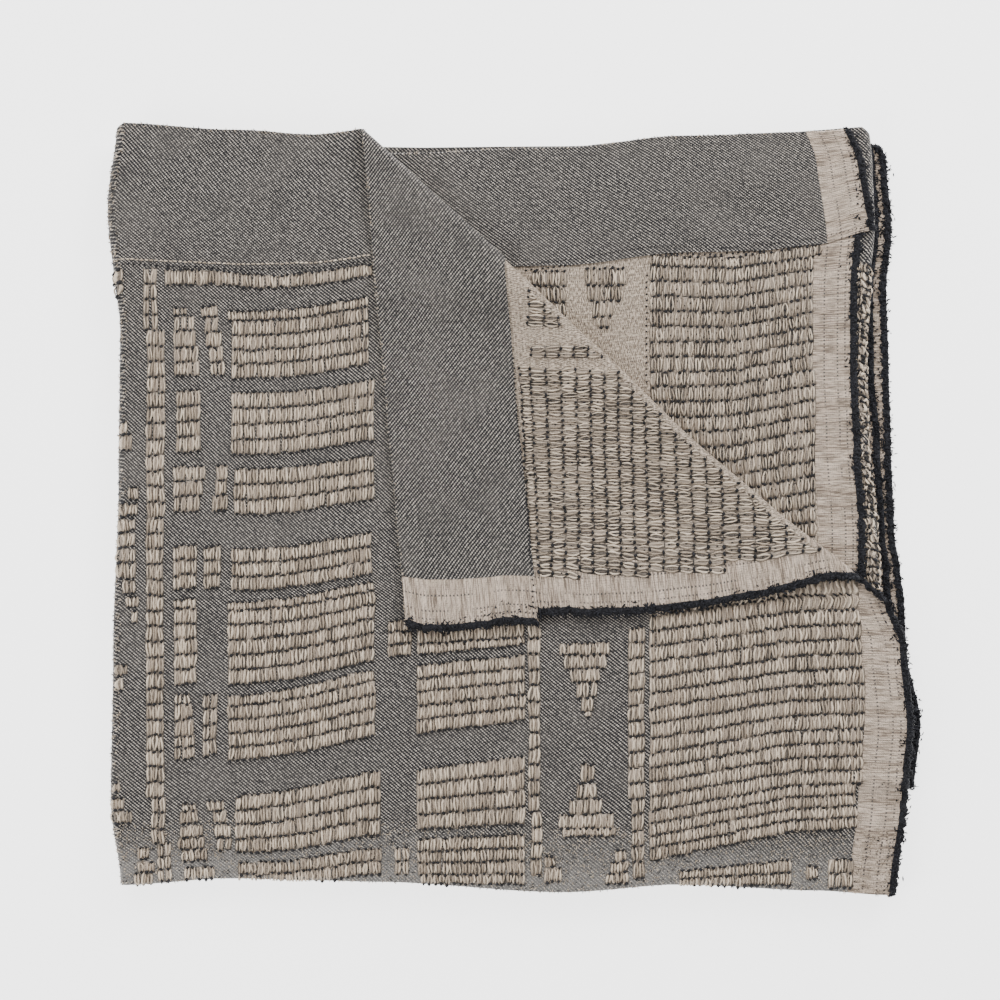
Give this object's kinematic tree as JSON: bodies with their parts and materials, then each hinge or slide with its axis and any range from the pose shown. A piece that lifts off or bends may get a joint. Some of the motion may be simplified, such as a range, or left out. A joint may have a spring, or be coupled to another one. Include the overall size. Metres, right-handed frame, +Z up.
{
  "type": "folded woven throw in a mud-cloth pattern",
  "caption": "Woven cotton throw with raised float blocks, plain hems and dark selvedge edgings, folded to a flat packet with a top corner turned back.",
  "frame": {"origin": "centre of the packet's box at the surface that it rests on", "axes": "+Z up from the surface, +Y towards the hemmed ends, +X towards the selvedges"},
  "size_m": [0.5231, 0.4948, 0.0298],
  "materials": {
    "weave": "matt grey and beige cotton weave with raised floats",
    "edging": "matt black tufted cotton edging"
  },
  "bodies": {
    "root": {"throw_cloth": "weave", "edging_first": "edging", "edging_second": "edging"}
  },
  "joints": []
}
